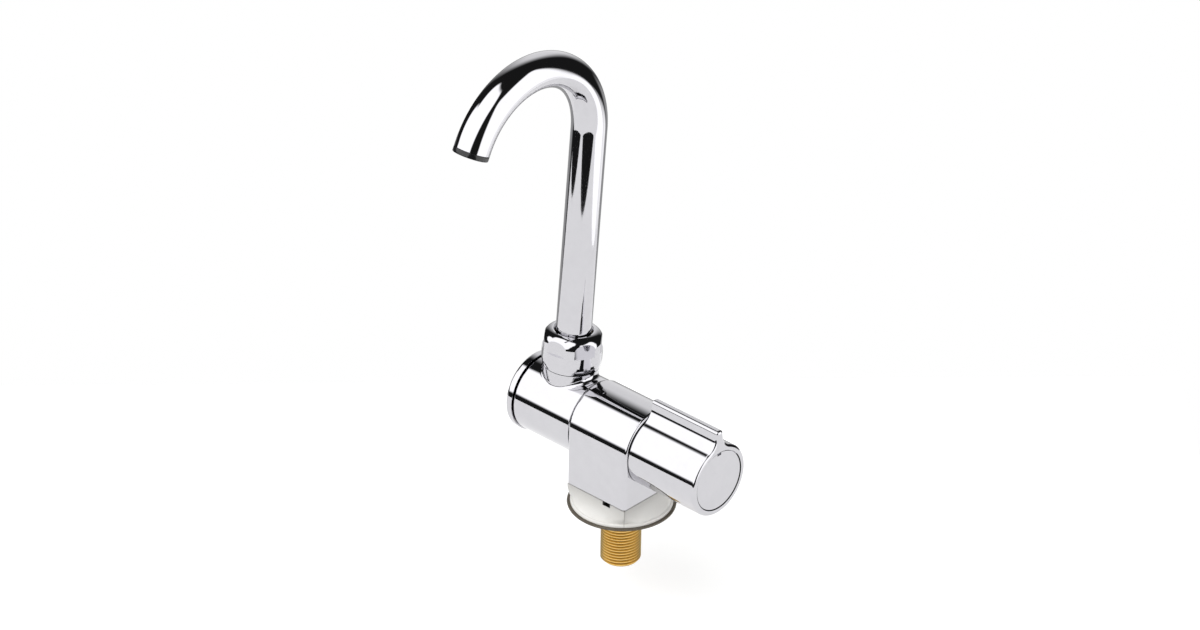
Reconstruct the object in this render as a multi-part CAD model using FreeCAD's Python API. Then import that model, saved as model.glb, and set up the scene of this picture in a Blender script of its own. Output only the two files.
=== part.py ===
import FreeCAD, Part
import math
import os

# Cold water tap with a spout that folds and swivels, in millimetres.
# Origin: shank axis at the deck plane. +X runs along the body axis to the knob,
# +Z is up and the outlet hangs over the -Y side.

# Clearances
press_gap = 0.02
thread_gap = 0.05
running_gap = 0.05
face_gap = 0.05
seam_gap = 0.3
free_gap = 0.4

# Inlet shank and what lies on the deck
shank_radius = 8.331
shank_length = 26.8
shank_chamfer = 1.0
shank_bore_radius = 4.2
shank_relief_depth = 0.35
tail_radius = 5.6
tail_length = 12.0
gasket_radius = 22.3
gasket_thickness = 0.9
foot_radius = 21.0
foot_rim = 1.3
foot_edge_round = 0.9
foot_ledge = 0.6
foot_setback = 0.3
foot_slot_width = 4.0
foot_slot_height = 1.4
foot_slot_depth = 5.0
foot_slot_x = 6.7
foot_section_count = 5

# Body block
axis_height = 33.25
block_half_width = 17.0
block_front = 16.7
block_rear = 15.0
block_lift = 10.3
block_corner_round = 1.8
block_top_round = 1.0
block_foot_round = 0.5
neck_radius = 7.75
neck_step = 0.85

# Ceramic valve
valve_bore_radius = 11.0
valve_bore_depth = 20.7
seal_thickness = 2.4
seal_width = 3.6
disc_radius = 9.0
disc_thickness = 3.0
port_inner_radius = 2.4
port_outer_radius = 7.2
port_angle = 80.0
disc_tab_width = 3.0
housing_wall = 0.9
housing_thread_length = 6.2
hex_across_flats = 21.0
hex_thickness = 3.0
nose_radius = 7.4
nose_length = 7.3
window_width = 9.0
stem_radius = 4.5
driver_thickness = 3.0
driver_angle = 84.0
lug_height = 1.2
lug_angle = 24.0
drive_radius = 3.9
drive_flat = 3.2
drive_length = 7.4
clip_thickness = 1.0
clip_depth = 0.8
clip_outer_radius = 6.2
clip_mouth = 5.0
valve_travel = 90.0

# Knob
knob_radius = 15.5
knob_length = 34.8
knob_wall = 2.2
knob_web = 3.0
knob_front_round = 1.2
hub_radius = 6.6
fin_tip_radius = 23.0
fin_tip_width = 3.6
fin_tip_round = 1.3
fin_taper = 8.0
fin_root_round = 7.0
end_disc_radius = 12.75
end_disc_thickness = 2.5
end_disc_gap = 0.45
end_disc_inset = 0.3
end_disc_ledge = 1.2
pry_notch_width = 2.2
pry_notch_depth = 1.1

# Screws
screw_radius = 2.0
screw_head_radius = 3.7
screw_head_height = 2.2
screw_socket_flats = 2.5
screw_socket_depth = 1.3
knob_screw_grip = 5.5
pivot_screw_grip = 4.5

# Fold joint
carrier_radius = 16.4
carrier_length = 30.1
carrier_edge_round = 0.45
journal_radius = 9.0
waterway_radius = 4.0
port_radius = 2.4
port_count = 4
chamber_radius = 11.0
chamber_width = 6.4
journal_groove_depth = 1.3
pivot_thread_radius = 7.0
pivot_thread_length = 7.8
recess_radius = 14.0
recess_depth = 5.2
friction_washer_thickness = 0.8
pivot_washer_thickness = 1.2
pivot_washer_radius = 12.4
cap_radius = 17.0
cap_thickness = 3.4
cap_edge_round = 1.3
cap_groove = 0.6
cap_plug_length = 3.0
cap_plug_wall = 1.3
spout_lean = 4.6
fold_travel = 94.6
stop_pin_radius = 1.2
stop_pin_circle = 13.0
stop_pin_set = 3.0
stop_pin_stand = 1.9

# O-rings
pivot_ring_section = 0.97
pivot_ring_spacing = 17.0
housing_ring_section = 0.75
stem_ring_section = 0.6
spout_ring_section = 0.68
spout_ring_spacing = 3.0
ring_groove_room = 0.35

# Spout foot, heights measured from the body axis along the spout
boss_foot_radius = 10.3
boss_foot_height = 11.0
boss_radius = 11.6
boss_height = 19.0
boss_fillet = 1.8
boss_neck_radius = 9.8
boss_neck_height = 27.0
socket_radius = 8.05
socket_floor = 13.2
socket_port_radius = 5.0
nut_foot_gap = 0.3
nut_foot_radius = 11.7
nut_radius = 12.35
nut_belly_height = 22.8
nut_shoulder_height = 29.8
nut_top_height = 35.0
nut_top_radius = 8.7
nut_top_chamfer = 0.5
nut_across_flats = 23.0
nut_flat_height = 27.0
nut_turn = 7.5
belly_bulge = 0.62
dome_bulge = 0.74
dome_rise = 0.66
ferrule_flange_thickness = 2.0
ferrule_seat_height = 21.5
ferrule_bore_radius = 5.2
swivel_ring_thickness = 0.9

# Spout
tube_radius = 7.32
tube_wall = 1.0
bend_height = 124.7
bend_radius = 35.0
bend_angle = 157.5
tube_end_run = 2.1
nozzle_length = 2.3
nozzle_edge_round = 0.6
nozzle_bore_radius = 4.9
straightener_thickness = 2.2
straightener_hole_radius = 0.95
straightener_hole_circle = 2.9
straightener_hole_count = 6

# Places along the body axis
block_front_x = block_front
block_rear_x = -block_rear
seat_x = block_front_x - valve_bore_depth
fixed_disc_x = seat_x + seal_thickness
moving_disc_x = fixed_disc_x + disc_thickness + face_gap
driver_x = moving_disc_x + disc_thickness
chamber_end_x = driver_x + driver_thickness + free_gap
hex_end_x = block_front_x + hex_thickness
nose_end_x = hex_end_x + nose_length
clip_x = nose_end_x + free_gap
drive_x = clip_x + clip_thickness + free_gap
drive_end_x = drive_x + drive_length
knob_rear_x = block_front_x + seam_gap
knob_front_x = knob_rear_x + knob_length
web_x = drive_end_x + free_gap
web_front_x = web_x + knob_web
end_disc_x = knob_front_x - end_disc_inset - end_disc_thickness
carrier_front_x = block_rear_x - seam_gap
carrier_rear_x = carrier_front_x - carrier_length
spout_x = carrier_front_x - carrier_length / 2
ledge_x = carrier_rear_x + recess_depth
journal_end_x = ledge_x - friction_washer_thickness - face_gap
pivot_washer_x = journal_end_x - pivot_washer_thickness
cap_front_x = carrier_rear_x - cap_groove
cap_rear_x = cap_front_x - cap_thickness
waterway_end_x = spout_x - chamber_width / 2

# Sizes that follow from the fits
foot_rim_top = gasket_thickness + foot_rim
foot_ledge_top = gasket_thickness + foot_ledge
foot_top = block_lift - seam_gap
neck_foot = gasket_thickness / 2
neck_step_radius = neck_radius - neck_step
shank_relief_radius = shank_radius - shank_relief_depth
housing_bore_radius = disc_radius + running_gap
housing_radius = housing_bore_radius + housing_wall
housing_thread_radius = valve_bore_radius - thread_gap
stem_bore_radius = stem_radius + running_gap
driver_radius = disc_radius - free_gap
carrier_bore_radius = journal_radius + running_gap
ferrule_radius = socket_radius - running_gap
ferrule_flange_bottom = boss_neck_height + free_gap
ferrule_flange_top = ferrule_flange_bottom + ferrule_flange_thickness
ferrule_flange_radius = boss_neck_radius - thread_gap
ferrule_foot = socket_floor + free_gap
swivel_ring_bottom = ferrule_flange_top + face_gap
swivel_ring_top = swivel_ring_bottom + swivel_ring_thickness
nut_bore_radius = boss_neck_radius + thread_gap
nut_foot_height = boss_height + nut_foot_gap
collar_opening_radius = tube_radius + free_gap
stop_pin_angle = 180.0 + fold_travel / 2
nozzle_insert = tube_end_run - press_gap


def plane_wire(start, steps, to_space):
    """Closed wire from plane points. A step is a point, or an arc as (through, to)."""
    edges = []
    here = start
    for step in steps:
        if isinstance(step[0], tuple):
            through, end = step
            edges.append(Part.Arc(to_space(here), to_space(through), to_space(end)).toShape())
        else:
            end = step
            edges.append(Part.LineSegment(to_space(here), to_space(end)).toShape())
        here = end
    if here != start:
        edges.append(Part.LineSegment(to_space(here), to_space(start)).toShape())
    return Part.Wire(edges)


def body_point(point):
    """Place (x, radius) above the body axis."""
    x, radius = point
    return FreeCAD.Vector(x, 0, axis_height + radius)


def spout_point(point):
    """Place (radius, height above the body axis) beside the upright spout axis."""
    radius, height = point
    return FreeCAD.Vector(spout_x + radius, 0, axis_height + height)


def shank_point(point):
    """Place (radius, height) beside the shank axis."""
    radius, height = point
    return FreeCAD.Vector(radius, 0, height)


def turned(start, steps, to_space, base, axis, angle=360.0):
    """Solid of revolution from a closed outline."""
    face = Part.Face(plane_wire(start, steps, to_space))
    return face.revolve(base, axis, angle)


def turned_body(start, *steps):
    """Piece turned about the body axis."""
    base = FreeCAD.Vector(0, 0, axis_height)
    return turned(start, list(steps), body_point, base, FreeCAD.Vector(1, 0, 0))


def turned_spout(start, *steps):
    """Piece turned about the upright spout axis."""
    base = FreeCAD.Vector(spout_x, 0, axis_height)
    return turned(start, list(steps), spout_point, base, FreeCAD.Vector(0, 0, 1))


def turned_shank(start, *steps):
    """Piece turned about the shank axis."""
    return turned(start, list(steps), shank_point, FreeCAD.Vector(0, 0, 0), FreeCAD.Vector(0, 0, 1))


def tube_x(x_start, x_end, outer, inner):
    """Plain ring or sleeve about the body axis."""
    return turned_body((x_start, inner), (x_end, inner), (x_end, outer), (x_start, outer))


def rod_x(x_start, x_end, radius):
    """Plain rod on the body axis."""
    base = FreeCAD.Vector(x_start, 0, axis_height)
    return Part.makeCylinder(radius, x_end - x_start, base, FreeCAD.Vector(1, 0, 0))


def turn_x(shape, angle):
    """Turn a shape about the body axis, in degrees."""
    shape = shape.copy()
    shape.rotate(FreeCAD.Vector(0, 0, axis_height), FreeCAD.Vector(1, 0, 0), angle)
    return shape


def tilt(shape):
    """Lean an upright spout piece to its stop."""
    return turn_x(shape, -spout_lean)


def sector_x(x_start, x_end, inner, outer, middle, span):
    """Part ring about the body axis, centred at an angle from straight up."""
    start = (x_start, inner)
    steps = [(x_end, inner), (x_end, outer), (x_start, outer)]
    base = FreeCAD.Vector(0, 0, axis_height)
    ring = turned(start, steps, body_point, base, FreeCAD.Vector(1, 0, 0), span)
    return turn_x(ring, middle - span / 2)


def hex_prism(across_flats, base, axis, length, across):
    """Hexagonal bar from a base point along an axis, with one flat facing across."""
    corner = across_flats / 2 / math.cos(math.pi / 6)
    side = axis.cross(across)
    points = []
    for index in range(7):
        angle = math.radians(30 + 60 * index)
        points.append(base + across * (corner * math.cos(angle)) + side * (corner * math.sin(angle)))
    return Part.Face(Part.makePolygon(points)).extrude(axis * length)


def o_ring(centre, axis, middle_radius, section):
    """Rubber ring of round section."""
    return Part.makeTorus(middle_radius, section, centre, axis)


def cap_screw(x_head, direction, grip):
    """Socket screw on the body axis: its head's seat is at x_head and its point lies along direction."""
    axis = FreeCAD.Vector(direction, 0, 0)
    seat = FreeCAD.Vector(x_head, 0, axis_height)
    shaft = Part.makeCylinder(screw_radius - thread_gap, grip, seat, axis)
    head = Part.makeCylinder(screw_head_radius, screw_head_height, seat, axis * -1)
    head_end = seat - axis * screw_head_height
    socket = hex_prism(screw_socket_flats, head_end, axis, screw_socket_depth, FreeCAD.Vector(0, 0, 1))
    return shaft.fuse(head).cut(socket).removeSplitter()


def body_block():
    """Block with a half-round top and a stepped neck, bored for valve, pivot and shank."""
    width = block_half_width
    length = block_front + block_rear
    side = plane_wire(
        (-width, block_lift),
        [(-width, axis_height), ((0, axis_height + width), (width, axis_height)), (width, block_lift)],
        lambda point: FreeCAD.Vector(block_rear_x, point[0], point[1]))
    arch = Part.Face(side).extrude(FreeCAD.Vector(length, 0, 0))
    plan = Part.makeBox(length, 2 * width, axis_height + 2 * width - block_lift,
                        FreeCAD.Vector(block_rear_x, -width, block_lift))
    uprights = [edge for edge in plan.Edges if abs(edge.tangentAt(edge.FirstParameter).z) > 0.5]
    plan = plan.makeFillet(block_corner_round, uprights)
    foot = [edge for edge in plan.Edges if edge.BoundBox.ZMax < block_lift + block_foot_round]
    plan = plan.makeFillet(block_foot_round, foot)
    block = arch.common(plan)
    for face_x, inward in ((block_front_x, -1), (block_rear_x, 1)):
        block = block.cut(top_edge_cutter(face_x, inward))
    neck = turned_shank(
        (0, neck_foot), (neck_step_radius, neck_foot), (neck_step_radius, foot_ledge_top),
        (neck_radius, foot_ledge_top), (neck_radius, block_lift + block_foot_round),
        (0, block_lift + block_foot_round))
    block = block.fuse(neck)
    up = FreeCAD.Vector(0, 0, 1)
    tail_hole = Part.makeCylinder(tail_radius + thread_gap, tail_length, FreeCAD.Vector(0, 0, neck_foot), up)
    inlet = Part.makeCylinder(shank_bore_radius, axis_height - neck_foot, FreeCAD.Vector(0, 0, neck_foot), up)
    valve_bore = rod_x(seat_x, block_front_x, valve_bore_radius)
    outlet = rod_x(block_rear_x, seat_x, waterway_radius)
    pivot_hole = rod_x(block_rear_x, block_rear_x + pivot_thread_length + free_gap,
                       pivot_thread_radius + thread_gap)
    inlet = inlet.cut(rod_x(block_rear_x, seat_x, valve_bore_radius))
    for hole in (tail_hole, inlet, valve_bore, outlet, pivot_hole, stop_pin(press_gap)):
        block = block.cut(hole)
    return block.removeSplitter()


def top_edge_cutter(face_x, inward):
    """What rounding takes off the half-round edge of the block's end face."""
    edge = block_top_round
    half = edge * (1 - math.sqrt(0.5))
    start = (face_x, block_half_width + edge)
    steps = [(face_x, block_half_width - edge),
             ((face_x + inward * half, block_half_width - half), (face_x + inward * edge, block_half_width)),
             (face_x + inward * edge, block_half_width + edge)]
    base = FreeCAD.Vector(0, 0, axis_height)
    ring = turned(start, steps, body_point, base, FreeCAD.Vector(1, 0, 0), 180.0)
    return turn_x(ring, -90.0)


def stop_pin(grow=0.0):
    """Pin that stands out of the block's rear face into the carrier's slot."""
    place = FreeCAD.Vector(block_rear_x - stop_pin_stand, 0, axis_height + stop_pin_circle)
    pin = Part.makeCylinder(stop_pin_radius + grow, stop_pin_set + stop_pin_stand, place,
                            FreeCAD.Vector(1, 0, 0))
    return turn_x(pin, stop_pin_angle)


def inlet_shank():
    """Tail with its thread's outside diameter below the deck, screwed into the neck."""
    return turned_shank(
        (shank_bore_radius, -shank_length), (shank_radius - shank_chamfer, -shank_length),
        (shank_radius, shank_chamfer - shank_length), (shank_radius, 0), (shank_relief_radius, 0),
        (shank_relief_radius, neck_foot), (tail_radius, neck_foot),
        (tail_radius, neck_foot + tail_length - free_gap),
        (shank_bore_radius, neck_foot + tail_length - free_gap))


def foot_section(share):
    """Outline of the foot at a share of its height, from the round rim to the square top."""
    height = foot_rim_top + share * (foot_top - foot_rim_top)
    flare = (1 - share) ** 2
    round_radius = foot_radius - foot_edge_round
    front = block_front_x - foot_setback
    rear = block_rear_x + foot_setback
    side = block_half_width - foot_setback
    square = [(front, -side), (front, side), (rear, side), (rear, -side)]
    angles = [math.atan2(y, x) for x, y in square]

    def flared(x, y, angle):
        x += flare * (round_radius * math.cos(angle) - x)
        y += flare * (round_radius * math.sin(angle) - y)
        return FreeCAD.Vector(x, y, height)

    edges = []
    for index, (here, angle) in enumerate(zip(square, angles)):
        after = (index + 1) % len(square)
        turn = (angles[after] - angle) % (2 * math.pi)
        start = flared(*here, angle)
        end = flared(*square[after], angles[after])
        middle = [(a + b) / 2 for a, b in zip(here, square[after])]
        if flare > 0:
            through = flared(*middle, angle + turn / 2)
            edges.append(Part.Arc(start, through, end).toShape())
        else:
            edges.append(Part.LineSegment(start, end).toShape())
    return Part.Wire(edges)


def base_foot():
    """White foot that runs from the block's square outline to a round rim with a soft edge."""
    edge = foot_edge_round
    half = edge * (1 - math.sqrt(0.5))
    rim = turned_shank(
        (0, gasket_thickness), (foot_radius, gasket_thickness), (foot_radius, foot_rim_top - edge),
        ((foot_radius - half, foot_rim_top - half), (foot_radius - edge, foot_rim_top)), (0, foot_rim_top))
    sections = [foot_section(index / (foot_section_count - 1)) for index in range(foot_section_count)]
    foot = rim.fuse(Part.makeLoft(sections, True, False))
    bore = turned_shank(
        (0, gasket_thickness), (neck_step_radius + press_gap, gasket_thickness),
        (neck_step_radius + press_gap, foot_ledge_top), (neck_radius + press_gap, foot_ledge_top),
        (neck_radius + press_gap, foot_top), (0, foot_top))
    slot = Part.makeBox(foot_slot_width, foot_slot_depth + foot_setback, foot_slot_height,
                        FreeCAD.Vector(foot_slot_x - foot_slot_width / 2, -block_half_width,
                                       foot_top - foot_slot_height))
    return foot.cut(bore).cut(slot).removeSplitter()


def deck_gasket():
    """Flat gasket between the foot and the deck."""
    inner = shank_relief_radius + free_gap
    return turned_shank((inner, 0), (gasket_radius, 0), (gasket_radius, gasket_thickness),
                        (inner, gasket_thickness))


def seat_seal():
    """Rubber ring between the valve's fixed disc and the bottom of its bore."""
    return tube_x(seat_x, fixed_disc_x, waterway_radius + seal_width, waterway_radius)


def disc_ports(x_start, first_angle):
    """The two waterways through a ceramic disc."""
    ports = [sector_x(x_start, x_start + disc_thickness, port_inner_radius, port_outer_radius,
                      first_angle + turn, port_angle) for turn in (0, 180)]
    return Part.makeCompound(ports)


def tab_bar(width, reach):
    """Bar across the valve for the fixed disc's two tabs."""
    return Part.makeBox(disc_thickness, 2 * reach, width,
                        FreeCAD.Vector(fixed_disc_x, -reach, axis_height - width / 2))


def fixed_disc():
    """Ceramic disc held from turning by two tabs."""
    disc = rod_x(fixed_disc_x, fixed_disc_x + disc_thickness, disc_radius)
    tabs = tab_bar(disc_tab_width, housing_radius).common(
        rod_x(fixed_disc_x, fixed_disc_x + disc_thickness, housing_radius))
    return disc.fuse(tabs).cut(disc_ports(fixed_disc_x, 0)).removeSplitter()


def drive_lugs(grow):
    """The two lugs by which the spindle turns the moving disc."""
    lugs = [sector_x(driver_x - lug_height - grow, driver_x, stem_radius, port_outer_radius + grow,
                     turn, lug_angle + 4 * grow) for turn in (0, 180)]
    return Part.makeCompound(lugs)


def moving_disc():
    """Ceramic disc that the spindle turns, closed at rest."""
    disc = rod_x(moving_disc_x, moving_disc_x + disc_thickness, disc_radius)
    return disc.cut(disc_ports(moving_disc_x, valve_travel)).cut(drive_lugs(running_gap)).removeSplitter()


def groove_ring_radius(outer, section):
    """Middle radius of a ring that lies flush with an outer radius."""
    return outer - section


def ring_groove(x_middle, outer, section):
    """Groove for a rubber ring in a turned piece on the body axis."""
    half = section + ring_groove_room
    floor = outer - 2 * section - press_gap
    return tube_x(x_middle - half, x_middle + half, outer + free_gap, floor)


housing_ring_x = block_front_x - housing_thread_length / 2
stem_ring_x = (block_front_x + hex_end_x) / 2


def cartridge_housing():
    """Brass sleeve of the valve with side windows, a threaded collar and a hexagon."""
    thread_x = block_front_x - housing_thread_length
    sleeve = turned_body(
        (fixed_disc_x, housing_bore_radius), (chamber_end_x, housing_bore_radius),
        (chamber_end_x, stem_bore_radius), (nose_end_x, stem_bore_radius), (nose_end_x, nose_radius),
        (block_front_x, nose_radius), (block_front_x, housing_thread_radius),
        (thread_x, housing_thread_radius), (thread_x, housing_radius), (fixed_disc_x, housing_radius))
    nut = hex_prism(hex_across_flats, FreeCAD.Vector(block_front_x, 0, axis_height),
                    FreeCAD.Vector(1, 0, 0), hex_thickness, FreeCAD.Vector(0, 0, 1))
    sleeve = sleeve.fuse(nut.cut(rod_x(block_front_x, hex_end_x, nose_radius)))
    window_length = chamber_end_x - driver_x
    for wide, tall in ((window_width, 2 * valve_bore_radius), (2 * valve_bore_radius, window_width)):
        window = Part.makeBox(window_length, wide, tall,
                              FreeCAD.Vector(driver_x, -wide / 2, axis_height - tall / 2))
        sleeve = sleeve.cut(window.cut(rod_x(driver_x, chamber_end_x, housing_bore_radius)))
    sleeve = sleeve.cut(tab_bar(disc_tab_width + 2 * running_gap, valve_bore_radius))
    sleeve = sleeve.cut(ring_groove(housing_ring_x, housing_thread_radius, housing_ring_section))
    return sleeve.removeSplitter()


def housing_oring():
    """Seal between the valve's collar and its bore."""
    return o_ring(FreeCAD.Vector(housing_ring_x, 0, axis_height), FreeCAD.Vector(1, 0, 0),
                  groove_ring_radius(housing_thread_radius, housing_ring_section), housing_ring_section)


def drive_end(x_start, x_end, grow):
    """Rod with two flats that carries the knob."""
    flat = drive_flat + grow
    rod = rod_x(x_start, x_end, drive_radius + grow)
    slab = Part.makeBox(x_end - x_start, 2 * flat, 4 * drive_radius,
                        FreeCAD.Vector(x_start, -flat, axis_height - 2 * drive_radius))
    return rod.common(slab)


def valve_spindle():
    """Stem with a bow-tie driver inside the valve and a flatted end for the knob."""
    stem = rod_x(driver_x, drive_x, stem_radius)
    blades = [sector_x(driver_x, driver_x + driver_thickness, 0, driver_radius, turn, driver_angle)
              for turn in (0, 180)]
    stem = stem.multiFuse(blades + [drive_lugs(0.0), drive_end(drive_x, drive_end_x, 0.0)])
    stem = stem.cut(ring_groove(stem_ring_x, stem_radius, stem_ring_section))
    clip_groove = tube_x(clip_x, clip_x + clip_thickness, stem_radius + free_gap, stem_radius - clip_depth)
    tapped = rod_x(drive_end_x - knob_screw_grip, drive_end_x, screw_radius)
    return stem.cut(clip_groove).cut(tapped).removeSplitter()


def spindle_oring():
    """Stem seal inside the valve's nose."""
    return o_ring(FreeCAD.Vector(stem_ring_x, 0, axis_height), FreeCAD.Vector(1, 0, 0),
                  groove_ring_radius(stem_radius, stem_ring_section), stem_ring_section)


def spindle_clip():
    """Open snap ring in the stem's groove, in front of the nose."""
    ring = tube_x(clip_x, clip_x + clip_thickness, clip_outer_radius, stem_radius - clip_depth + press_gap)
    mouth = Part.makeBox(clip_thickness, clip_mouth, 2 * clip_outer_radius,
                         FreeCAD.Vector(clip_x, -clip_mouth / 2, axis_height - 2 * clip_outer_radius))
    return ring.cut(mouth)


def knob_outline():
    """Knob section: a circle that runs through soft root curves into one tapered fin."""
    taper = math.radians(fin_taper)
    normal = (math.cos(taper), math.sin(taper))
    along = (-math.sin(taper), math.cos(taper))
    corner = (fin_tip_width / 2 - fin_tip_round, fin_tip_radius - fin_tip_round)
    reach = fin_tip_round + corner[0] * normal[0] + corner[1] * normal[1]
    climb = math.sqrt((knob_radius + fin_root_round) ** 2 - (reach + fin_root_round) ** 2)
    root = tuple((reach + fin_root_round) * n + climb * a for n, a in zip(normal, along))
    share = knob_radius / (knob_radius + fin_root_round)
    flank_top = tuple(c + fin_tip_round * n for c, n in zip(corner, normal))
    flank_foot = tuple(r - fin_root_round * n for r, n in zip(root, normal))
    on_circle = tuple(share * r for r in root)
    inward = tuple(-n - r / (knob_radius + fin_root_round) for n, r in zip(normal, root))
    root_middle = tuple(r + fin_root_round * i / math.hypot(*inward) for r, i in zip(root, inward))
    tip_turn = (math.pi / 2 + taper) / 2
    tip_middle = (corner[0] + fin_tip_round * math.cos(tip_turn),
                  corner[1] + fin_tip_round * math.sin(tip_turn))
    tip = (corner[0], fin_tip_radius)

    def mirrored(point):
        return (-point[0], point[1])

    steps = [(root_middle, flank_foot), flank_top, (tip_middle, tip), mirrored(tip),
             (mirrored(tip_middle), mirrored(flank_top)), mirrored(flank_foot),
             (mirrored(root_middle), mirrored(on_circle)), ((0, -knob_radius), on_circle)]
    return on_circle, steps


def knob_shell():
    """Hollow finned knob with a hub, a web and a seat for the end disc."""
    start, steps = knob_outline()
    wire = plane_wire(start, steps,
                      lambda point: FreeCAD.Vector(knob_rear_x, point[0], axis_height + point[1]))
    shell = Part.Face(wire).extrude(FreeCAD.Vector(knob_length, 0, 0))
    front = [edge for edge in shell.Edges if edge.BoundBox.XMin > knob_front_x - knob_front_round]
    shell = shell.makeFillet(knob_front_round, front)
    inner = knob_radius - knob_wall
    back_room = rod_x(knob_rear_x, web_x, inner)
    front_room = rod_x(web_front_x, end_disc_x, end_disc_radius - end_disc_ledge)
    seat = rod_x(end_disc_x, knob_front_x, end_disc_radius + end_disc_gap)
    shell = shell.cut(back_room).cut(front_room).cut(seat)
    hub = rod_x(drive_x, web_x, hub_radius)
    shell = shell.fuse(hub).cut(drive_end(drive_x, web_x, running_gap))
    shell = shell.cut(rod_x(web_x, web_front_x, screw_radius + thread_gap))
    return shell.removeSplitter()


def knob_end_disc():
    """Flush disc with a small notch at its edge."""
    front_x = knob_front_x - end_disc_inset
    disc = rod_x(end_disc_x, front_x, end_disc_radius)
    notch = Part.makeBox(end_disc_thickness, pry_notch_width, 2 * pry_notch_depth,
                         FreeCAD.Vector(end_disc_x + end_disc_thickness / 2, -pry_notch_width / 2,
                                        axis_height + end_disc_radius - pry_notch_depth))
    return disc.cut(notch)


def knob_screw():
    """Screw through the knob's web into the spindle."""
    return cap_screw(web_front_x, -1, knob_web + knob_screw_grip - free_gap)


def pivot_rings():
    """Places of the two pivot seals, one on each side of the water chamber."""
    return [spout_x - pivot_ring_spacing / 2, spout_x + pivot_ring_spacing / 2]


def pivot_spigot():
    """Hollow trunnion: screwed into the block, waisted at its ports, grooved for two seals."""
    waist = journal_radius - journal_groove_depth
    half = chamber_width / 2
    root_x = block_rear_x + pivot_thread_length
    trunnion = turned_body(
        (journal_end_x, 0), (root_x, 0), (root_x, pivot_thread_radius), (block_rear_x, pivot_thread_radius),
        (block_rear_x, journal_radius), (spout_x + half, journal_radius), (spout_x + half, waist),
        (spout_x - half, waist), (spout_x - half, journal_radius), (journal_end_x, journal_radius))
    trunnion = trunnion.cut(rod_x(waterway_end_x, root_x, waterway_radius))
    for index in range(port_count):
        port = Part.makeCylinder(port_radius, journal_radius, FreeCAD.Vector(spout_x, 0, axis_height))
        trunnion = trunnion.cut(turn_x(port, index * 360.0 / port_count))
    for x_middle in pivot_rings():
        trunnion = trunnion.cut(ring_groove(x_middle, journal_radius, pivot_ring_section))
    tapped = rod_x(journal_end_x, journal_end_x + pivot_screw_grip, screw_radius)
    return trunnion.cut(tapped).removeSplitter()


def pivot_orings():
    """The two seals of the fold joint."""
    middle = groove_ring_radius(journal_radius, pivot_ring_section)
    rings = [o_ring(FreeCAD.Vector(x, 0, axis_height), FreeCAD.Vector(1, 0, 0), middle, pivot_ring_section)
             for x in pivot_rings()]
    return Part.makeCompound(rings)


def friction_washer():
    """Plastic washer that gives the fold its drag."""
    return tube_x(ledge_x - friction_washer_thickness, ledge_x - face_gap, recess_radius - free_gap,
                  journal_radius + press_gap)


def pivot_washer():
    """Steel washer that keeps the carrier on the trunnion."""
    return tube_x(pivot_washer_x, journal_end_x, pivot_washer_radius, screw_radius + thread_gap)


def pivot_screw():
    """Screw that holds the washer on the trunnion's end."""
    return cap_screw(pivot_washer_x, 1, pivot_washer_thickness + pivot_screw_grip - free_gap)


def stop_slot():
    """Curved slot in the carrier's front face in which the stop pin runs."""
    half = stop_pin_radius + running_gap
    depth = stop_pin_stand + free_gap
    middle = stop_pin_angle - fold_travel / 2
    slot = sector_x(block_rear_x - depth, carrier_front_x, stop_pin_circle - half, stop_pin_circle + half,
                    middle, fold_travel)
    for angle in (stop_pin_angle, stop_pin_angle - fold_travel):
        end = Part.makeCylinder(half, depth - seam_gap,
                                FreeCAD.Vector(block_rear_x - depth, 0, axis_height + stop_pin_circle),
                                FreeCAD.Vector(1, 0, 0))
        slot = slot.fuse(turn_x(end, angle))
    return slot


def runs_on_drum(edge):
    """Whether an edge lies on the carrier's round side, between its ends."""
    middle = edge.valueAt((edge.FirstParameter + edge.LastParameter) / 2)
    on_side = abs(math.hypot(middle.y, middle.z - axis_height) - carrier_radius) < press_gap
    inside = carrier_rear_x + carrier_edge_round < edge.BoundBox.XMin
    return on_side and inside and edge.BoundBox.XMax < carrier_front_x - carrier_edge_round


def spout_carrier():
    """Cylinder that folds on the trunnion, with the boss and socket for the spout."""
    edge = carrier_edge_round
    half = edge * (1 - math.sqrt(0.5))
    drum = turned_body(
        (carrier_rear_x, 0), (carrier_rear_x, carrier_radius - edge),
        ((carrier_rear_x + half, carrier_radius - half), (carrier_rear_x + edge, carrier_radius)),
        (carrier_front_x - edge, carrier_radius),
        ((carrier_front_x - half, carrier_radius - half), (carrier_front_x, carrier_radius - edge)),
        (carrier_front_x, 0))
    bowl_middle = (boss_foot_radius + belly_bulge * (boss_radius - boss_foot_radius),
                   (boss_foot_height + boss_height) / 2)
    boss = turned_spout(
        (0, 0), (boss_foot_radius, 0), (boss_foot_radius, boss_foot_height),
        (bowl_middle, (boss_radius, boss_height)), (boss_neck_radius, boss_height),
        (boss_neck_radius, boss_neck_height), (0, boss_neck_height))
    carrier = drum.fuse(boss)
    saddle = [edge for edge in carrier.Edges if runs_on_drum(edge) and edge.BoundBox.ZMin > axis_height]
    carrier = carrier.makeFillet(boss_fillet, saddle)
    chamber = rod_x(spout_x - chamber_width / 2, spout_x + chamber_width / 2, chamber_radius)
    port = turned_spout((0, 0), (socket_port_radius, 0), (socket_port_radius, socket_floor), (0, socket_floor))
    socket = turned_spout((0, socket_floor), (socket_radius, socket_floor), (socket_radius, boss_neck_height),
                          (0, boss_neck_height))
    bore = rod_x(carrier_rear_x, carrier_front_x, carrier_bore_radius)
    recess = rod_x(carrier_rear_x, ledge_x, recess_radius)
    for hollow in (chamber, port, socket, bore, recess):
        carrier = carrier.cut(hollow)
    return tilt(carrier).cut(stop_slot()).removeSplitter()


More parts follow.
